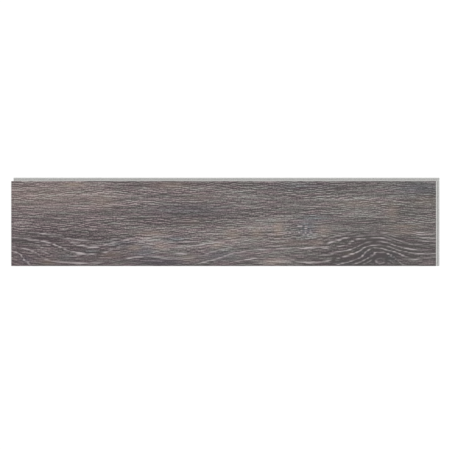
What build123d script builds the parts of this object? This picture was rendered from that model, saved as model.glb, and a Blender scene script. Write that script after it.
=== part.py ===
from build123d import *

import os

# Click-lock vinyl plank for a herringbone floor, lying printed face up.
# The origin is under the middle of the printed face, on the underside.
# +X runs along the plank, +Y across it towards the long lip, and +Z up.
# All sizes are in millimetres.

# Printed face and build-up of the plank
FACE_LENGTH = 600.0
FACE_WIDTH = 120.0
PLANK_THICKNESS = 5.0
DECOR_THICKNESS = 0.6  # printed film and clear wear coat, bonded as one skin
FACE_BEVEL = 0.4  # small bevel round the printed face

# Lower lip in section: outwards from the joint face, and up from the underside
LIP_REACH = 5.0  # joint face to the widest point of the bead
LIP_FLOOR = 1.5  # thickness of the lip under its channel
CHANNEL_WIDTH = 2.0  # flat floor between the joint face and the bead
BEAD_RISE = 1.4  # top of the bead above the channel floor
BEAD_LEAN = 0.4  # lean of the bead's locking face over its rise
BEAD_RADIUS = 0.3  # rounding of the bead's two top corners
LEAD_IN = 0.7  # outer shoulder that guides the next plank over the bead
SNAP_DEPTH = 0.25  # undercut below the shoulder, which holds the next plank down
FOOT_CHAMFER = 0.4  # broken edge at the foot of the lip

# How planks meet
JOINT_PLAY = 0.1  # gap all round a lip in the socket of the next plank
HOOK_CHAMFER = 0.3  # broken edge on the hook that drops into the channel
LONG_LIP_TRIM = 3.0  # the long lip starts this far in from the left end

CORE_THICKNESS = PLANK_THICKNESS - DECOR_THICKNESS
BEAD_TOP = LIP_FLOOR + BEAD_RISE
LIP_NECK = LIP_REACH - SNAP_DEPTH
HOOK_BOTTOM = LIP_FLOOR + JOINT_PLAY

# Corners of the lip's section, from the foot of the joint face round to its channel
LIP_CORNERS = [
    (0, 0),
    (LIP_NECK - FOOT_CHAMFER, 0),
    (LIP_NECK, FOOT_CHAMFER),
    (LIP_NECK, LIP_FLOOR),
    (LIP_REACH, LIP_FLOOR + SNAP_DEPTH),
    (LIP_REACH, BEAD_TOP - LEAD_IN),
    (LIP_REACH - LEAD_IN, BEAD_TOP),
    (CHANNEL_WIDTH + BEAD_LEAN, BEAD_TOP),
    (CHANNEL_WIDTH, LIP_FLOOR),
    (0, LIP_FLOOR),
]


def section_of_long_edge(x, y):
    """Plane across the plank at x, facing +X, with its own x axis along +Y from y."""
    return Plane(origin=(x, y, 0), x_dir=(0, 1, 0), z_dir=(1, 0, 0))


def section_of_short_edge(x, y):
    """Plane along the plank at y, facing -Y, with its own x axis along +X from x."""
    return Plane(origin=(x, y, 0), x_dir=(1, 0, 0), z_dir=(0, -1, 0))


def lip_section(plane):
    """Lower lip: a channel beside the joint face, then the locking bead."""
    with BuildSketch(plane) as section:
        with BuildLine():
            Polyline(*LIP_CORNERS, close=True)
        make_face()
        fillet(section.vertices().group_by(Axis.Y)[-1], BEAD_RADIUS)
    return section.sketch


def socket_section(plane):
    """Room for the lip of the next plank, with the hook's lower edge broken at its mouth."""
    with BuildSketch(plane) as section:
        with BuildLine():
            Polyline(*LIP_CORNERS, close=True)
        make_face()
        offset(amount=JOINT_PLAY, kind=Kind.INTERSECTION)
        with BuildLine():
            Polyline(
                (-JOINT_PLAY, HOOK_BOTTOM),
                (HOOK_CHAMFER, HOOK_BOTTOM),
                (-JOINT_PLAY, HOOK_BOTTOM + HOOK_CHAMFER + JOINT_PLAY),
                close=True,
            )
        make_face()
    return section.sketch


# Core board: one pressed sheet, with a lip milled on two edges and a socket on the other two.
# The long lip runs on past the right end, where its channel cuts off the short lip.
with BuildPart() as core_board:
    with BuildSketch():
        Rectangle(FACE_LENGTH, FACE_WIDTH)
    extrude(amount=CORE_THICKNESS)
    extrude(
        lip_section(section_of_long_edge(LONG_LIP_TRIM - FACE_LENGTH / 2, FACE_WIDTH / 2)),
        amount=FACE_LENGTH - LONG_LIP_TRIM + LIP_REACH,
    )
    extrude(
        lip_section(section_of_short_edge(FACE_LENGTH / 2, FACE_WIDTH / 2)),
        amount=FACE_WIDTH,
    )
    extrude(
        socket_section(section_of_long_edge(-FACE_LENGTH / 2, -FACE_WIDTH / 2)),
        amount=FACE_LENGTH,
        mode=Mode.SUBTRACT,
    )
    extrude(
        socket_section(section_of_short_edge(-FACE_LENGTH / 2, FACE_WIDTH / 2)),
        amount=FACE_WIDTH,
        mode=Mode.SUBTRACT,
    )
core_board.part.label = "core_board"

# Decor layer: printed skin over the whole top of the core, with its edges bevelled
with BuildPart() as decor_layer:
    with BuildSketch(Plane.XY.offset(CORE_THICKNESS)):
        Rectangle(FACE_LENGTH, FACE_WIDTH)
    extrude(amount=DECOR_THICKNESS)
    chamfer(decor_layer.faces().sort_by(Axis.Z)[-1].edges(), FACE_BEVEL)
decor_layer.part.label = "decor_layer"

os.makedirs("parts", exist_ok=True)
for piece in (core_board.part, decor_layer.part):
    export_step(piece, f"parts/{piece.label}.step")
    print(piece.label, f"{piece.volume:.0f} mm3", piece.bounding_box().size)
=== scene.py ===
import bpy
import numpy as np
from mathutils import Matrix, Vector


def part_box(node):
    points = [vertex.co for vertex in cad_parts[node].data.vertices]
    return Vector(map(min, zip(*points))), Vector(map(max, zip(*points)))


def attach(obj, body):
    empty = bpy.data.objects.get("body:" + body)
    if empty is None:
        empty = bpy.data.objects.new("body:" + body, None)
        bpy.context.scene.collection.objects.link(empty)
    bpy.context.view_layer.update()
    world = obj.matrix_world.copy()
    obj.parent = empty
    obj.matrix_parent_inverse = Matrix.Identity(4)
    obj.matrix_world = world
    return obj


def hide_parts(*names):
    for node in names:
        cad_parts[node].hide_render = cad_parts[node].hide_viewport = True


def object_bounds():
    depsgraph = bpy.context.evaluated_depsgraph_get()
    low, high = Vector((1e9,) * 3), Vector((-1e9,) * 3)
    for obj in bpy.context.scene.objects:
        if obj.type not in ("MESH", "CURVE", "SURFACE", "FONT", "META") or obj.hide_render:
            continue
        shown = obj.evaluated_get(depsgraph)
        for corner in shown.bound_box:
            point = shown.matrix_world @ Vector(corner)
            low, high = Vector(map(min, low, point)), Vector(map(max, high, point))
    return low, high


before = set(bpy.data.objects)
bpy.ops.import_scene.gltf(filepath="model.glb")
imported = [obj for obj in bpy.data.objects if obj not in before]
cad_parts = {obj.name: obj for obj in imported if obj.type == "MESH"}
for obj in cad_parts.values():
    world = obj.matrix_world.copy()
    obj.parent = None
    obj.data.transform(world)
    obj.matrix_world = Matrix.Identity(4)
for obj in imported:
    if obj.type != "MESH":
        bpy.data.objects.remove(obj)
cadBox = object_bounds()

# Herringbone vinyl plank seen from straight above: printed and embossed oak on a milled grey core.
# Sizes in the dictionaries are millimetres, the scene is in metres.
mm = 0.001


def linear(hexColour):
    # sRGB hex to linear RGBA, by the curve of the sRGB standard
    parts = np.array([int(hexColour[k:k + 2], 16) for k in (1, 3, 5)]) / 255
    flat = np.where(parts <= 0.04045, parts / 12.92, ((parts + 0.055) / 1.055) ** 2.4)
    return (*flat.tolist(), 1.0)


def addNode(tree, kind, inputs=None, stops=None, **settings):
    # a socket given as an input is linked, anything else is set as the value;
    # stops are the places and colours of a ramp
    node = tree.nodes.new(kind)
    for name, value in settings.items():
        setattr(node, name, value)
    for name, value in (inputs or {}).items():
        if isinstance(value, bpy.types.NodeSocket):
            tree.links.new(value, node.inputs[name])
        else:
            node.inputs[name].default_value = value
    for number, (place, colour) in enumerate(stops or []):
        ramp = node.color_ramp.elements
        stop = ramp[number] if number < len(ramp) else ramp.new(place)
        stop.position, stop.color = place, colour
    return node


def emptyTree(owner):
    # nodes of a material or a world, with the default ones taken out
    owner.use_nodes = True
    owner.node_tree.nodes.clear()
    return owner.node_tree


def newMaterial(name):
    material = bpy.data.materials.new(name)
    return material, emptyTree(material)


def finishSurface(tree, colour, height, look):
    # one principled shader over a fine bump, with the finish that the dictionary gives
    strength, depth = look["bump"]
    bump = addNode(tree, "ShaderNodeBump", {"Height": height, "Strength": strength, "Distance": depth * mm})
    shader = addNode(tree, "ShaderNodeBsdfPrincipled", {
        "Base Color": colour, "Normal": bump.outputs["Normal"],
        "Roughness": look["roughness"], "IOR": look["ior"],
    })
    addNode(tree, "ShaderNodeOutputMaterial", {"Surface": shader.outputs["BSDF"]})


# Oak figure, measured along the plank from its left end and across it from its lower long edge
oakFigure = {
    # where the growth rings rise or sag: along, across, lift, half length, half width
    "arch": [
        (485, 45, 13.2, 71, 15.4),
        (526, 20, 6.2, 28.5, 45),
        (561, -3, -14.0, 71, 15.4),
        (508, 24, 3.0, 20, 8.7),
        (422, -15, -23.3, 73, 27.6),
    ],
    "sags": [
        (-25, 17, 4.1, 46.6, 6.9),
        (29, -28, -29.0, 51, 41),
        (111, 6, -27.6, 73.6, 31.8),
        (247, -2, -24.4, 76.4, 37.8),
    ],
    # how far the fine fibres follow the rings there
    "archFollow": 0.5,
    "sagFollow": 0.35,
    # fibres run nearly straight, but weave near the upper right corner
    "evenWeave": 0.04,
    "weave": [(560, 90, 1.3, 34, 14)],
    # pale growth lines: ring, from, to, strength
    "growthLines": [
        # sag at the left end
        (42.8, -10, 170, 0.9),
        (41.5, 20, 60, 0.6),
        (49.2, 22, 78, 0.7),
        (51.2, 70, 102, 0.5),
        (47.5, 50, 164, 0.8),
        (45.9, 78, 172, 0.9),
        (38.8, 22, 56, 0.6),
        (36.8, 34, 60, 0.9),
        (33.6, -10, 190, 0.9),
        (33.6, 182, 324, 0.6),
        (26.4, -10, 30, 1.3),
        # middle
        (49.0, 186, 236, 0.5),
        (44.3, 202, 268, 0.9),
        (41.2, 218, 300, 0.9),
        (37.2, 222, 260, 0.8),
        (26.9, 258, 446, 1.1),
        (18.3, 314, 360, 1.2),
        (18.9, 398, 466, 1.0),
        (22.2, 400, 456, 0.9),
        # arch at the right end
        (33.8, 460, 482, 0.7),
        (34.0, 510, 548, 0.5),
        (31.0, 448, 494, 0.6),
        (29.1, 566, 606, 0.6),
        (34.4, 572, 610, 0.9),
        (38.2, 572, 608, 0.9),
        (41.7, 566, 592, 0.8),
        (45.2, 562, 606, 0.8),
        (28.5, 436, 496, 0.9),
        (28.5, 518, 568, 0.8),
        (28.8, 488, 526, 0.7),
        (25.5, 496, 534, 0.7),
        (31.8, 498, 548, 0.5),
        (26.1, 436, 496, 0.8),
        (26.1, 516, 544, 0.7),
        (22.7, 450, 596, 1.0),
        (19.3, 462, 610, 1.0),
        (16.2, 494, 610, 1.0),
        (13.1, 506, 558, 0.9),
        (15.9, 456, 502, 0.9),
        (13.4, 480, 510, 0.9),
        (11.6, 494, 513, 0.8),
        (11.0, 531, 542, 0.8),
    ],
    # small oval eyes: along, across, half length, half width, lean, strength
    "eyes": [
        (521, 7.4, 7.6, 4.4, 0.0, 0.55),
        (588, 85.4, 5.0, 2.8, 0.5, 0.5),
    ],
    # how an eye looks, in its half sizes
    "eyeClear": (0.7, 0.4),  # where lines start to show round it, and over what distance
    "eyePale": (0.8, 0.22),  # pale ring: place, half width
    "eyeShine": (0.8, 0.4, 0.3),  # how pale that is, and what it loses upwards and to the right
    "eyeDark": (1.3, 0.25, 0.4),  # dark ring: place, half width, strength
    # left of these places the lines are broken into steps, and right of them, in the arch, they are even:
    # width, how much a slope smooths the steps, and how far a row slips across the rings
    "archStart": (400, 480),
    "lineWidth": (0.95, 0.84),
    "smoothing": (3.0, 4.0),
    "slip": (0.45, 0.3),
    # a line's height, the trough round it, as height and as width in line widths, and how long its ends fade
    "linePeak": 1.45,
    "troughDepth": 0.3,
    "troughWidth": 3,
    "lineFade": 8,
    "pitchLimits": (0.3, 2),  # rings to the mm, between which a line keeps its width
    # rows of fibres that the lines are drawn in, how closely a line keeps to its row on the level,
    # how far a row may slip along, and the slope that counts as level
    "rowHeight": 1.5,
    "rowHold": 0.7,
    "rowShift": 5.0,
    "levelSlope": 0.01,
    # how strong a line is before its row fades in and out, and what the fading takes off on average
    "lineShare": 0.8,
    "fadeLoss": 0.14,
    "fleckLimit": 1.2,  # noise above this makes a limed pore
    # noise in the figure: length, width, swing, seed; what goes by rows has a width of one row
    "noise": {
        "rowSlip": (30, 1, 1, 21),
        "ringWobble": (25, 6, 0.3, 23),
        "rowFade": (16, 1, 1.2, 24),
        "lineSwell": (12, 3, 0.4, 25),
        "flecks": (3.2, 1, 5, 26),
        "weave": (12, 5, 1, 3),
        "sway": (90, 9, 0.9, 5),
        "pores": (12, 1.2, 1, 11),
    },
    # where limed pores show beside the lines
    "flecked": [
        (60, 42, 0.3, 60, 14),
        (500, 44, 0.2, 60, 10),
        (409, 49, 1.8, 23, 11),
    ],
    # broad pale and dark areas: along, across, change of tone, half length, half width
    "shades": [
        (50, 105, 0.16, 95, 22),
        (16, 60, 0.26, 16, 6),
        (115, 85, 0.08, 22, 6),
        (158, 62, 0.12, 16, 6),
        (170, 92, 0.07, 40, 18),
        (320, 98, 0.13, 40, 7),
        (440, 98, 0.08, 18, 6),
        (465, 94, 0.10, 45, 10),
        (372, 72, 0.09, 30, 6),
        (352, 58, 0.09, 28, 9),
        (384, 47, 0.13, 14, 5),
        (300, 40, 0.12, 110, 20),
        (195, 34, 0.18, 22, 11),
        (224, 26, 0.11, 26, 9),
        (298, 26, 0.12, 34, 9),
        (384, 8, 0.30, 15, 5),
        (364, 5, 0.32, 14, 4),
        (572, 7, 0.24, 28, 6),
        (572, 70, 0.11, 30, 18),
        (440, 47, 0.06, 16, 6),
        # painted shade: a broad darkening towards the right end, taking back the key light's brightening
        # there
        (600, 50, -0.04, 200, 150),
        (30, 36, -0.13, 60, 20),
        (17, 29, -0.06, 18, 9),
        (45, 47, -0.15, 32, 6),
        (66, 70, -0.21, 32, 9),
        (118, 48, -0.11, 45, 7),
        (200, 47, -0.12, 40, 6),
        (122, 16, -0.12, 38, 9),
        (262, 74, -0.13, 60, 10),
        (275, 85, -0.16, 44, 6),
        (220, 60, -0.06, 40, 8),
        (402, 57, -0.15, 24, 8),
        (400, 35, -0.11, 24, 6),
        (16, 85, -0.06, 16, 6),
        (510, 14, -0.26, 85, 26),
        (485, 10, -0.20, 34, 7),
        (158, 36, -0.10, 16, 7),
        (512, 37, -0.35, 32, 9),
        (578, 22, -0.14, 30, 7),
        (580, 103, -0.12, 40, 16),
        (584, 112, -0.12, 20, 7),
        (490, 117, -0.06, 130, 7),
        (300, -4, -0.10, 500, 9),
        (213, 4, -0.08, 36, 5),
        (162, 109, -0.17, 22, 6),
        (96, 65, -0.12, 7, 6),
        (553, 75, -0.18, 13, 6),
        (61, 36, -0.20, 7, 2),
        (170, 31, -0.25, 4, 2),
    ],
    # beige areas in the print: along, across, strength, half length, half width
    "ambers": [
        (50, 100, 0.35, 80, 18),
        (88, 115, 0.9, 14, 3),
        (130, 92, 0.4, 16, 10),
        (225, 114, 0.5, 24, 5),
        (265, 97, 0.2, 24, 7),
        (255, 62, 0.2, 14, 6),
        (200, 46, 0.6, 20, 4),
        (175, 26, 0.8, 9, 4),
        (210, 28, 0.6, 9, 5),
        (291, 30, 0.6, 8, 5),
        (312, 45, 0.6, 12, 8),
        (347, 47, 0.6, 9, 9),
        (377, 52, 0.9, 7, 10),
        (400, 33, 0.3, 26, 4),
        (250, 11, 0.5, 10, 5),
        (370, 6, 0.5, 14, 5),
        (440, 50, 0.5, 10, 8),
        (490, 88, 0.4, 32, 5),
        (538, 77, 0.5, 8, 12),
        (556, 56, 0.6, 20, 2.5),
        (554, 48, 0.4, 24, 4),
        (585, 92, 0.3, 20, 8),
        (52, 6, 0.5, 10, 4),
        (141, 16, 0.4, 14, 4),
        (432, 33, 0.4, 10, 4),
        (479, 17, 0.3, 8, 3),
    ],
    # blue-grey areas, given the same way
    "slates": [
        (408, 113, 0.5, 46, 6),
        (577, 110, 0.8, 34, 9),
        (250, 79, 0.5, 50, 8),
        (430, 68, 0.6, 20, 5),
        (417, 53, 0.9, 12, 11),
        (157, 32, 0.6, 24, 5),
        (232, 38, 0.7, 14, 4),
        (188, 19, 0.7, 16, 9),
        (213, 5, 0.8, 36, 6),
        (295, 15, 0.6, 24, 8),
        (510, 10, 0.4, 24, 8),
        (537, 13, 0.7, 8, 8),
        (20, 9, 0.7, 8, 5),
        (113, 20, 0.5, 12, 4),
        (78, 13, 0.4, 12, 4),
        (497, 18, 0.6, 12, 6),
        (470, 4, 0.6, 16, 4),
    ],
}


def lattice(along, across, seed):
    # value noise: random heights on a whole-number lattice, blended between points with a smooth step
    cells = 256  # after which the lattice repeats
    heights = np.random.default_rng(seed).uniform(-1, 1, (cells, cells))
    column, row = np.floor(along).astype(int), np.floor(across).astype(int)
    right, up = (part * part * (3 - 2 * part) for part in (along - column, across - row))
    lower, upper = (
        heights[column % cells, (row + above) % cells] * (1 - right)
        + heights[(column + 1) % cells, (row + above) % cells] * right
        for above in (0, 1)
    )
    return lower * (1 - up) + upper * up


def stray(name, along, across):
    # named noise of the figure: swing times the value noise, with its lattice stretched to length and width
    length, width, swing, seed = oakFigure["noise"][name]
    return swing * lattice(along / length, across / width, seed)


def bell(distance, halfWidth):
    # smooth mound of height 1: exp of minus the square of distance over half width
    return np.exp(-(distance / halfWidth) ** 2)


def mounds(patches, along, across):
    # sum of smooth mounds: height times exp of minus the squares of distance along over half length
    # and distance across over half width
    total = np.zeros_like(along)
    for midAlong, midAcross, height, halfLength, halfWidth in patches:
        squares = ((along - midAlong) / halfLength) ** 2 + ((across - midAcross) / halfWidth) ** 2
        total += height * np.exp(-squares)
    return total


def ringAt(along, across):
    # ring number in mm: the distance across, less what the arch and the sags have lifted it
    return across - mounds(oakFigure["arch"] + oakFigure["sags"], along, across)


def fibreAt(along, across):
    # place across the fibres in mm: the distance across, less a share of what the arch and the sags
    # have lifted it, with a weave and a slow sway
    lift = oakFigure["archFollow"] * mounds(oakFigure["arch"], along, across)
    lift += oakFigure["sagFollow"] * mounds(oakFigure["sags"], along, across)
    weave = oakFigure["evenWeave"] + mounds(oakFigure["weave"], along, across)
    return across - lift + weave * stray("weave", along, across) + stray("sway", along, across)


def drawEyes(lines, along, across):
    # an eye clears the lines round it and has one pale ring, brightest below on the left, in a dark one
    clearFrom, clearOver = oakFigure["eyeClear"]
    paleRing, paleWidth = oakFigure["eyePale"]
    shine, lossUp, lossRight = oakFigure["eyeShine"]
    darkRing, darkWidth, darkness = oakFigure["eyeDark"]
    for midAlong, midAcross, halfLength, halfWidth, lean, strength in oakFigure["eyes"]:
        right = (along - midAlong) / halfLength
        up = (across - midAcross - lean * (along - midAlong)) / halfWidth
        far = np.hypot(right, up)
        lines = lines * np.clip((far - clearFrom) / clearOver, 0, 1)
        lines += strength * (shine - lossUp * up - lossRight * right) * bell(far - paleRing, paleWidth)
        lines -= darkness * strength * bell(far - darkRing, darkWidth)
    return lines


def growthLines(along, across):
    # each line is a narrow mound across the rings in a shallow dark trough, faded in and out at its ends;
    # each row of fibres reads the rings at its own middle, a little to and fro along the row,
    # which breaks the slopes into short straight dashes
    lineWidth, smoothing, slip = (
        np.interp(along, oakFigure["archStart"], oakFigure[name])
        for name in ("lineWidth", "smoothing", "slip")
    )
    # rings to the mm, which keeps the lines one width and the steps small where the rings stand steep
    slope = (ringAt(along + 1, across) - ringAt(along - 1, across)) / 2
    pitch = np.hypot(slope, (ringAt(along, across + 1) - ringAt(along, across - 1)) / 2)
    rowHeight = oakFigure["rowHeight"]
    row = np.floor(across / rowHeight)
    step = oakFigure["rowHold"] / (1 + (smoothing * slope) ** 2)
    middle = across + step * ((row + 0.5) * rowHeight - across)
    slip = np.minimum(oakFigure["rowShift"], slip / (np.abs(slope) + oakFigure["levelSlope"]))
    ring = ringAt(along + slip * stray("rowSlip", along, row), middle)
    ring += stray("ringWobble", along, across)
    width = lineWidth * np.clip(pitch, *oakFigure["pitchLimits"])
    width *= 1 + stray("lineSwell", along, across)

    fade = oakFigure["lineFade"]
    lines = np.zeros_like(along)
    for place, start, end, strength in oakFigure["growthLines"]:
        window = np.clip((along - start) / fade, 0, 1) * np.clip((end - along) / fade, 0, 1)
        offset = (ring - place) / width
        trough = oakFigure["troughDepth"] * bell(offset, oakFigure["troughWidth"])
        lines += strength * window * (oakFigure["linePeak"] * bell(offset, 1) - trough)
    lines = drawEyes(lines, along, across)
    # limed pores beside the lines, on every other row
    flecks = (row % 2) * np.clip(stray("flecks", along, row) - oakFigure["fleckLimit"], 0, 1)
    lines += flecks * mounds(oakFigure["flecked"], along, across)
    # each row fades in and out by itself, but not where steps are small
    return lines * (oakFigure["lineShare"] + step * (stray("rowFade", along, row) - oakFigure["fadeLoss"]))


# Embossed face: the printed skin, with growth lines and pores pressed in, in register with the print
decorFace = {
    "bevel": 0.4,
    "alongSteps": 530,
    "acrossSteps": 178,
    "poreDepth": 0.06,
    "lineDepth": 0.06,
    "edgeLime": 0.9,  # how pale the cut edge is
}


def gridLine(low, high, bevel, steps):
    # places from one side to the other: foot and top of the wall, even steps between the bevels, and back
    inside = np.linspace(low + bevel, high - bevel, steps)
    return np.concatenate(([low, low], inside, [high, high]))


def makeDecorFace():
    # height over a grid along and across the plank: the top of the skin, less what is pressed in;
    # the grid's two outer rows are the foot and the top of the wall, and the bevel follows
    low, high = (np.array(corner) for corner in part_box("decor_layer"))
    bevel = decorFace["bevel"] * mm
    x, y = np.meshgrid(
        gridLine(low[0], high[0], bevel, decorFace["alongSteps"]),
        gridLine(low[1], high[1], bevel, decorFace["acrossSteps"]),
        indexing="ij",
    )
    # how many rows of the grid a point lies in from its edge
    rows, columns = np.indices(x.shape)
    inwards = np.minimum.reduce([rows, columns, x.shape[0] - 1 - rows, x.shape[1] - 1 - columns])

    along, across = (x - low[0]) / mm, (y - low[1]) / mm
    lines = growthLines(along, across)
    fibre = fibreAt(along, across)
    pores = np.clip(-stray("pores", along, fibre), 0, 1)
    sunk = decorFace["poreDepth"] * pores + decorFace["lineDepth"] * np.clip(lines, 0, 1)
    z = np.where(inwards == 0, low[2], np.where(inwards == 1, high[2] - bevel, high[2] - sunk * mm))

    # the grid's quads, and one face below that closes the rim
    point = np.arange(x.size).reshape(x.shape)
    quads = np.stack([point[:-1, :-1], point[1:, :-1], point[1:, 1:], point[:-1, 1:]], -1).reshape(-1, 4)
    rim = np.concatenate([point[0, :-1], point[:-1, -1], point[-1, :0:-1], point[:0:-1, 0]])
    mesh = bpy.data.meshes.new("decorFace")
    mesh.from_pydata(np.stack([x, y, z], -1).reshape(-1, 3), [], quads.tolist() + [rim.tolist()])

    # grain map: along the plank and across the fibres, in metres
    corner = np.empty(len(mesh.loops), int)
    mesh.loops.foreach_get("vertex_index", corner)
    grain = np.stack([along, fibre], -1).reshape(-1, 2)[corner] * mm
    mesh.uv_layers.new(name="grain").data.foreach_set("uv", grain.ravel())

    # what the print does at each point: growth line, blue-grey, broad shade and beige
    figure = [mounds(oakFigure[name], along, across) for name in ("slates", "shades", "ambers")]
    # the wall is cut through the print and shows pale vinyl, which fades out up the bevel
    shown = np.where(inwards < 2, decorFace["edgeLime"], lines)
    plan = np.stack([shown, *figure], -1).reshape(-1, 4)
    mesh.attributes.new("printPlan", "FLOAT_COLOR", "POINT").data.foreach_set("color", plan.ravel())
    # smooth inside the bevel, flat on the bevel, the wall and the underside
    inner = np.minimum(inwards[:-1, :-1], inwards[1:, 1:]).ravel() > 1
    mesh.polygons.foreach_set("use_smooth", np.append(inner, False))
    mesh.update()

    piece = bpy.data.objects.new("decorFace", mesh)
    bpy.context.scene.collection.objects.link(piece)
    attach(piece, "root")
    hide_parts("decor_layer")
    print("decor face:", len(mesh.polygons), "faces")
    return piece


# Printed vinyl film under a matte polyurethane coat: limed grey oak with a dull sheen,
# short dashes along the grain
oakPrint = {
    # dark to pale, evenly spaced
    "warm": ["#3c3034", "#625457", "#817274", "#a19292", "#bfb1b0"],
    "cool": ["#3b3533", "#5e5b58", "#7b7874", "#989692", "#b5b5b1"],
    # how cool at the left end and at the right, and the drift added to that: length, width, swing
    "coolness": (-1.04, -0.46),
    "drift": (32, 6, 2.5),
    # colours laid over that, with the most that each covers
    "amber": ("MIX", "#a28d79", 0.45),
    "slate": ("MULTIPLY", "#d2e9ff", 0.72),  # a tint, so the grain shows through
    "lime": ("MIX", "#b8afb0", 0.80),  # white lime left in the growth lines
    "ground": 0.307,
    "trough": 0.8,  # how dark the print is beside a growth line
    # layers of noise: length, width, swing, the part of the noise that the swing covers, and whether it comes
    # in separate rows of fibres; real fibres are finer, and are drawn coarse enough to show at one pixel
    "layers": [
        (11, 2.9, 0.68, 0.25, True),  # rows of dashes
        (34, 2.95, 0.43, 0.3, True),
        (12, 1.5, 0.10, 0.3, False),  # loose dashes
        (2.2, 1.4, 0.30, 0.3, False),  # motes between them
        (60, 1.5, 0.12, 0.3, False),  # threads
        (110, 8, 0.16, 0.4, False),  # streaks
        (160, 16, 0.13, 0.5, False),  # slow bands
    ],
    "rowStep": 0.55,  # how far apart neighbouring rows read the noise
    "limeBreak": 1.2,  # how much the fibres break up the lime
    "calm": (15, 50, 0.6),  # fibres are fainter low down, where the growth lines show: from, to, share left
    "bump": (0.1, 0.1),  # strength, depth
    "roughness": 0.55,
    "ior": 1.5,
}


def addFibres(tree, uv, tone):
    # tone with every layer of noise added, and the sum of the layers in rows
    across = addNode(tree, "ShaderNodeSeparateXYZ", {"Vector": uv}).outputs["Y"]
    start, end, share = oakPrint["calm"]
    loud = addNode(tree, "ShaderNodeMapRange", {
        "Value": across, "From Min": start * mm, "From Max": end * mm, "To Min": share, "To Max": 1.0,
    }).outputs["Result"]
    fibres = 0.0
    for length, width, swing, spread, inRows in oakPrint["layers"]:
        # its sizes also shift a layer, so that no two read the same noise
        place = addNode(tree, "ShaderNodeMapping", {
            "Vector": uv, "Location": (length, width, 0), "Scale": (1 / (length * mm), 1 / (width * mm), 1),
        }).outputs["Vector"]
        if inRows:
            # every row reads the noise at its own place, and has a pale and a dark side
            parted = addNode(tree, "ShaderNodeSeparateXYZ", {"Vector": place}).outputs
            row = addNode(tree, "ShaderNodeMath", {0: parted["Y"]}, operation="FLOOR").outputs[0]
            apart = addNode(tree, "ShaderNodeMath", {0: row, 1: oakPrint["rowStep"]}, operation="MULTIPLY")
            place = addNode(tree, "ShaderNodeCombineXYZ", {
                "X": parted["X"], "Y": apart.outputs[0],
            }).outputs["Vector"]
        noise = addNode(tree, "ShaderNodeTexNoise", {
            "Vector": place, "Scale": 1.0, "Detail": 0.0,
        }, noise_dimensions="2D")
        wave = addNode(tree, "ShaderNodeMapRange", {
            "Value": noise.outputs["Fac"], "From Min": 0.5 - spread / 2, "From Max": 0.5 + spread / 2,
            "To Min": -swing / 2, "To Max": swing / 2,
        }).outputs["Result"]
        if inRows:
            turn = addNode(tree, "ShaderNodeMath", {0: parted["Y"], 1: 2 * np.pi}, operation="MULTIPLY")
            side = addNode(tree, "ShaderNodeMath", {0: turn.outputs[0]}, operation="SINE").outputs[0]
            wave = addNode(tree, "ShaderNodeMath", {0: wave, 1: side}, operation="MULTIPLY").outputs[0]
            fibres = addNode(tree, "ShaderNodeMath", {0: wave, 1: fibres}, operation="ADD").outputs[0]
        tone = addNode(tree, "ShaderNodeMath", {
            0: wave, 1: loud, 2: tone,
        }, operation="MULTIPLY_ADD").outputs[0]
    return tone, fibres


def oakColour(tree, uv, tone):
    # warm and cool oak of that tone, mixed: warmer at the left end, cooler at the right, with a drift of hue
    warm, cool = (
        addNode(tree, "ShaderNodeValToRGB", {"Fac": tone}, [
            (number / (len(colours) - 1), linear(colour)) for number, colour in enumerate(colours)
        ]).outputs["Color"]
        for colours in (oakPrint["warm"], oakPrint["cool"])
    )
    low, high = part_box("decor_layer")
    along = addNode(tree, "ShaderNodeSeparateXYZ", {"Vector": uv}).outputs["X"]
    leftEnd, rightEnd = oakPrint["coolness"]
    cooler = addNode(tree, "ShaderNodeMapRange", {
        "Value": along, "From Max": high[0] - low[0], "To Min": leftEnd, "To Max": rightEnd,
    }).outputs["Result"]
    length, width, swing = oakPrint["drift"]
    place = addNode(tree, "ShaderNodeMapping", {
        "Vector": uv, "Scale": (1 / (length * mm), 1 / (width * mm), 1),
    })
    hue = addNode(tree, "ShaderNodeTexNoise", {
        "Vector": place.outputs["Vector"], "Scale": 1.0, "Detail": 2.0, "Roughness": 0.6,
    }, noise_dimensions="2D").outputs["Fac"]
    coolness = addNode(tree, "ShaderNodeMath", {
        0: hue, 1: swing, 2: cooler,
    }, operation="MULTIPLY_ADD", use_clamp=True).outputs[0]
    return addNode(tree, "ShaderNodeMix", {
        "Factor": coolness, "A": warm, "B": cool,
    }, data_type="RGBA").outputs["Result"]


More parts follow.
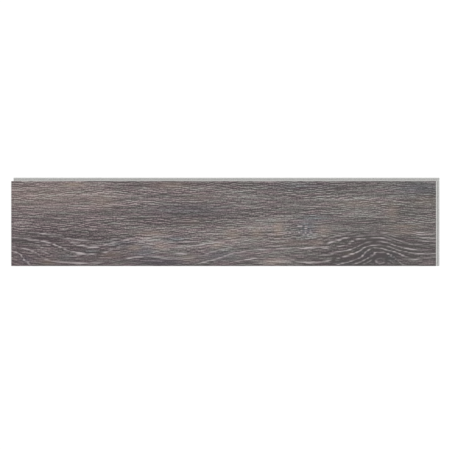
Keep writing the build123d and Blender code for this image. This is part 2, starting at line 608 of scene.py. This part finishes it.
def printedOak():
    material, tree = newMaterial("printed vinyl film, matte coat")
    uv = addNode(tree, "ShaderNodeUVMap", uv_map="grain").outputs["UV"]
    plan = addNode(tree, "ShaderNodeAttribute", attribute_name="printPlan")
    parts = addNode(tree, "ShaderNodeSeparateColor", {"Color": plan.outputs["Color"]}).outputs

    # lines below nothing are the dark troughs beside the pale ones
    trough = addNode(tree, "ShaderNodeMath", {0: parts["Red"], 1: 0.0}, operation="MINIMUM").outputs[0]
    tone = addNode(tree, "ShaderNodeMath", {
        0: parts["Blue"], 1: oakPrint["ground"],
    }, operation="ADD").outputs[0]
    tone = addNode(tree, "ShaderNodeMath", {
        0: trough, 1: oakPrint["trough"], 2: tone,
    }, operation="MULTIPLY_ADD").outputs[0]
    tone, fibres = addFibres(tree, uv, tone)
    oak = oakColour(tree, uv, tone)

    # lime lies in dashes, as the fibres took it
    taken = addNode(tree, "ShaderNodeMath", {
        0: fibres, 1: oakPrint["limeBreak"], 2: 1.0,
    }, operation="MULTIPLY_ADD").outputs[0]
    lime = addNode(tree, "ShaderNodeMath", {0: parts["Red"], 1: taken}, operation="MULTIPLY").outputs[0]
    washes = ((plan.outputs["Alpha"], "amber"), (parts["Green"], "slate"), (lime, "lime"))
    for strength, name in washes:
        blend, colour, most = oakPrint[name]
        share = addNode(tree, "ShaderNodeMath", {
            0: strength, 1: most,
        }, operation="MULTIPLY", use_clamp=True).outputs[0]
        oak = addNode(tree, "ShaderNodeMix", {
            "Factor": share, "A": oak, "B": linear(colour),
        }, data_type="RGBA", blend_type=blend).outputs["Result"]
    finishSurface(tree, oak, tone, oakPrint)
    print("printed oak:", len(tree.nodes), "nodes")
    return material


# Stone-filled vinyl core as the cutters left it: pale grey, dead matte, with a little stone speckle;
# pale colour is painted on the lips as light, lifting the shade in the channels and on the bead's steep face,
# with a painted highlight along the short lip's joint face
coreBoard = {
    # colours of the stone speckle: part of the noise, colour
    "colours": [(0.3, "#b0b0ae"), (0.5, "#c0c0be"), (0.7, "#cacac8")],
    "speckle": 1.6,  # stone is finer, and is drawn coarse enough to show
    # pale colour painted on the lips as light, lifting their shade
    "paintedLight": "#f0f0ee",
    # how much of the pale painted-light colour lies at each height, lifting the shade on the bead's steep
    # faces and in the channel: height, share
    "paintedLightByHeight": [(0.0, 0.0), (1.3, 0.1), (1.6, 0.2), (1.9, 1.0), (2.4, 1.0), (2.75, 0.0)],
    # the short lip has it along the joint face instead, as a painted highlight there: distance from the face,
    # share
    "paintedHighlightOnShortLip": [(0.0, 0.9), (1.0, 0.9), (1.4, 0.15), (2.6, 0.15), (3.0, 0.0), (5.0, 0.0)],
    "bump": (0.15, 0.05),  # strength, depth
    "roughness": 0.75,
    "ior": 1.53,
}


def milledCore():
    material, tree = newMaterial("milled stone-plastic core")
    place = addNode(tree, "ShaderNodeTexCoord").outputs["Object"]
    speckle = addNode(tree, "ShaderNodeTexNoise", {
        "Vector": place, "Scale": 1 / (coreBoard["speckle"] * mm), "Detail": 2.0, "Roughness": 0.6,
    }).outputs["Fac"]
    stone = addNode(tree, "ShaderNodeValToRGB", {"Fac": speckle}, [
        (part, linear(colour)) for part, colour in coreBoard["colours"]
    ]).outputs["Color"]

    # painted light by height on the long lip, and a painted highlight by distance from the printed face on
    # the short one
    end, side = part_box("decor_layer")[1][:2]
    reach, thickness = cadBox[1][0] - end, cadBox[1][2]
    parted = addNode(tree, "ShaderNodeSeparateXYZ", {"Vector": place}).outputs
    level = addNode(tree, "ShaderNodeMath", {0: parted["Z"], 1: thickness}, operation="DIVIDE").outputs[0]
    outwards = addNode(tree, "ShaderNodeMapRange", {
        "Value": parted["X"], "From Min": end, "From Max": end + reach,
    }).outputs["Result"]
    paintedLightByHeight, paintedHighlightOnShortLip = (
        addNode(tree, "ShaderNodeValToRGB", {"Fac": value}, [
            (distance * mm / whole, (share, share, share, 1.0)) for distance, share in coreBoard[name]
        ]).outputs["Color"]
        for value, whole, name in ((level, thickness, "paintedLightByHeight"), (outwards, reach, "paintedHighlightOnShortLip"))
    )
    beyond = addNode(tree, "ShaderNodeMath", {0: parted["X"], 1: end}, operation="GREATER_THAN")
    below = addNode(tree, "ShaderNodeMath", {0: parted["Y"], 1: side}, operation="LESS_THAN")
    onShortLip = addNode(tree, "ShaderNodeMath", {
        0: beyond.outputs[0], 1: below.outputs[0],
    }, operation="MULTIPLY").outputs[0]
    paintedLightShare = addNode(tree, "ShaderNodeMix", {
        "Factor": onShortLip, "A": paintedLightByHeight, "B": paintedHighlightOnShortLip,
    }, data_type="RGBA").outputs["Result"]
    # the painted light and painted highlight laid over the stone colour
    colour = addNode(tree, "ShaderNodeMix", {
        "Factor": paintedLightShare, "A": stone, "B": linear(coreBoard["paintedLight"]),
    }, data_type="RGBA").outputs["Result"]
    finishSurface(tree, colour, speckle, coreBoard)
    print("milled core:", len(tree.nodes), "nodes")
    return material


# Studio: white floor, white surroundings, one large soft light
studio = {
    "floorSize": 12000,
    "floorGlow": 0.86,
    "paper": "#838383",
    "bounce": "#e7e7e7",  # floor as the plank sees it
    "white": "#ffffff",
    "skyLight": 0.6,
    "keyPower": 68.0,  # watts
    "keySize": 2000,
    "keyPlace": (1400, 1400, 4200),
}


def seenDirectly(tree):
    # 1 for rays that show the background itself, straight or in a reflection
    seen = addNode(tree, "ShaderNodeLightPath").outputs
    share = seen["Is Camera Ray"]
    for kind in ("Is Glossy Ray", "Is Transmission Ray"):
        share = addNode(tree, "ShaderNodeMath", {0: share, 1: seen[kind]}, operation="MAXIMUM").outputs[0]
    return share


def makeStudio():
    half = studio["floorSize"] / 2 * mm
    square = np.array([(-1, -1, 0), (1, -1, 0), (1, 1, 0), (-1, 1, 0)]) * half
    mesh = bpy.data.meshes.new("floor")
    mesh.from_pydata(square, [], [(0, 1, 2, 3)])
    floor = bpy.data.objects.new("floor", mesh)
    bpy.context.scene.collection.objects.link(floor)

    # white paper sweep: shows as plain white to the camera and keeps a faint shadow
    material, tree = newMaterial("white paper sweep")
    paper = addNode(tree, "ShaderNodeBsdfDiffuse", {"Color": linear(studio["paper"])})
    glow = addNode(tree, "ShaderNodeEmission", {
        "Color": linear(studio["white"]), "Strength": studio["floorGlow"],
    })
    both = addNode(tree, "ShaderNodeAddShader", {0: paper.outputs[0], 1: glow.outputs[0]})
    bounce = addNode(tree, "ShaderNodeBsdfDiffuse", {"Color": linear(studio["bounce"])})
    mix = addNode(tree, "ShaderNodeMixShader", {
        0: seenDirectly(tree), 1: bounce.outputs[0], 2: both.outputs[0],
    })
    addNode(tree, "ShaderNodeOutputMaterial", {"Surface": mix.outputs[0]})
    mesh.materials.append(material)

    world = bpy.data.worlds.new("white surroundings")
    bpy.context.scene.world = world
    tree = emptyTree(world)
    strength = addNode(tree, "ShaderNodeMapRange", {
        "Value": seenDirectly(tree), "To Min": studio["skyLight"], "To Max": 1.0,
    })
    sky = addNode(tree, "ShaderNodeBackground", {
        "Color": linear(studio["white"]), "Strength": strength.outputs["Result"],
    })
    addNode(tree, "ShaderNodeOutputWorld", {"Surface": sky.outputs[0]})

    light = bpy.data.lights.new("key", "AREA")
    light.shape = "DISK"
    light.size = studio["keySize"] * mm
    light.energy = studio["keyPower"]
    key = bpy.data.objects.new("key", light)
    bpy.context.scene.collection.objects.link(key)
    key.location = [size * mm for size in studio["keyPlace"]]
    key.rotation_euler = key.location.to_track_quat("Z", "Y").to_euler()
    print("studio: floor, sky and key light")


# Camera straight above, with the photograph's edges at their pixels
photoFrame = {
    "width": 450,
    "leftEdge": 11.2,  # left end of the printed face
    "rightEdge": 436.15,  # right end of the printed face
    "lowerEdge": 266.05,  # lower long edge of the printed face
    "lens": 135,
    "sensor": 36,
}


def makeCamera():
    low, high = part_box("decor_layer")
    pixel = (high[0] - low[0]) / (photoFrame["rightEdge"] - photoFrame["leftEdge"])
    middle = photoFrame["width"] / 2
    camera = bpy.data.cameras.new("above")
    camera.lens, camera.sensor_width = photoFrame["lens"], photoFrame["sensor"]
    above = bpy.data.objects.new("above", camera)
    bpy.context.scene.collection.objects.link(above)
    above.location = (
        low[0] + (middle - photoFrame["leftEdge"]) * pixel,
        low[1] + (photoFrame["lowerEdge"] - middle) * pixel,
        high[2] + photoFrame["width"] * pixel * photoFrame["lens"] / photoFrame["sensor"],
    )
    bpy.context.scene.camera = above
    print("camera:", round(above.location.z, 3), "m up,", round(pixel / mm, 4), "mm a pixel")


face = makeDecorFace()
face.data.materials.append(printedOak())
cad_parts["core_board"].material_slots[0].material = milledCore()
makeStudio()
makeCamera()
bpy.context.scene.view_settings.view_transform = "Standard"
